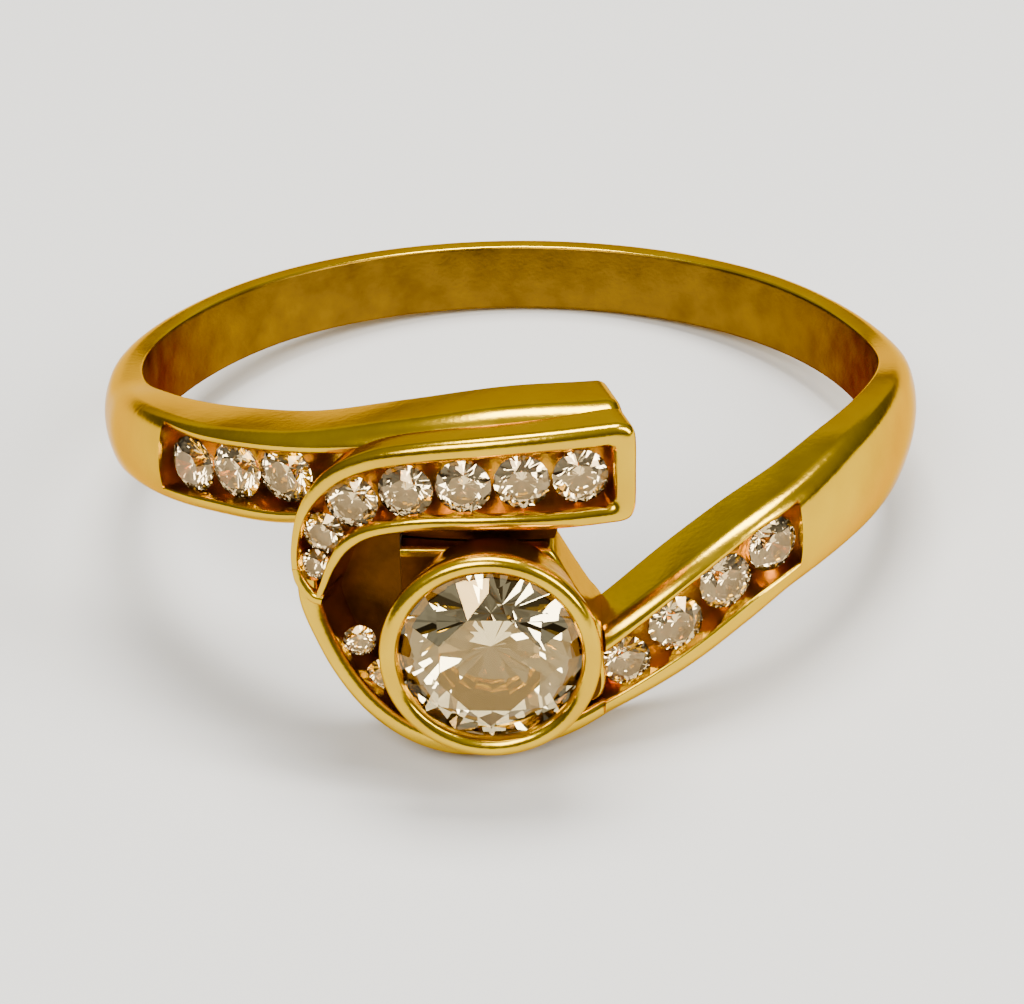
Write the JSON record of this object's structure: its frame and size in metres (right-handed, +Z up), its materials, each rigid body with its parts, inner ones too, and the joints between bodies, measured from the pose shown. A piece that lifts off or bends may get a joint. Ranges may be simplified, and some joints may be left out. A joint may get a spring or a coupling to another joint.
{
  "type": "engagement ring",
  "caption": "Yellow gold crossover engagement ring with a round centre stone in a bezel and channel-set stones on swept shoulders.",
  "frame": {"origin": "under the middle of the ring, on the surface it lies on", "axes": "+Z up with the ring lying down, -Y towards the set head, +X to the right of someone who faces the head"},
  "size_m": [0.0192, 0.022, 0.008],
  "materials": {
    "gold": "high-polish yellow gold",
    "centre_diamond": "faceted, clear",
    "side_diamond": "faceted, clear"
  },
  "bodies": {
    "root": {"accent_stone_1": "side_diamond", "accent_stone_2": "side_diamond", "bezel_cup": "gold", "bezel_gallery": "gold", "centre_stone": "centre_diamond", "crossover_rail": "gold", "hook_tip": "gold", "left_channel_floor": "gold", "left_lower_rail": "gold", "left_stone_1": "side_diamond", "left_stone_2": "side_diamond", "left_stone_3": "side_diamond", "recess_floor": "gold", "ribbon_apron": "gold", "ribbon_end_wall": "gold", "ribbon_floor": "gold", "ribbon_lower_rail": "gold", "ribbon_stone_1": "side_diamond", "ribbon_stone_2": "side_diamond", "ribbon_stone_3": "side_diamond", "ribbon_stone_4": "side_diamond", "ribbon_stone_5": "side_diamond", "ribbon_stone_6": "side_diamond", "ribbon_stone_7": "side_diamond", "ribbon_upper_rail": "gold", "right_channel_floor": "gold", "right_lower_rail": "gold", "right_stone_1": "side_diamond", "right_stone_2": "side_diamond", "right_stone_3": "side_diamond", "right_stone_4": "side_diamond", "right_upper_rail": "gold", "shank": "gold", "swirl_wall": "gold"}
  },
  "joints": []
}
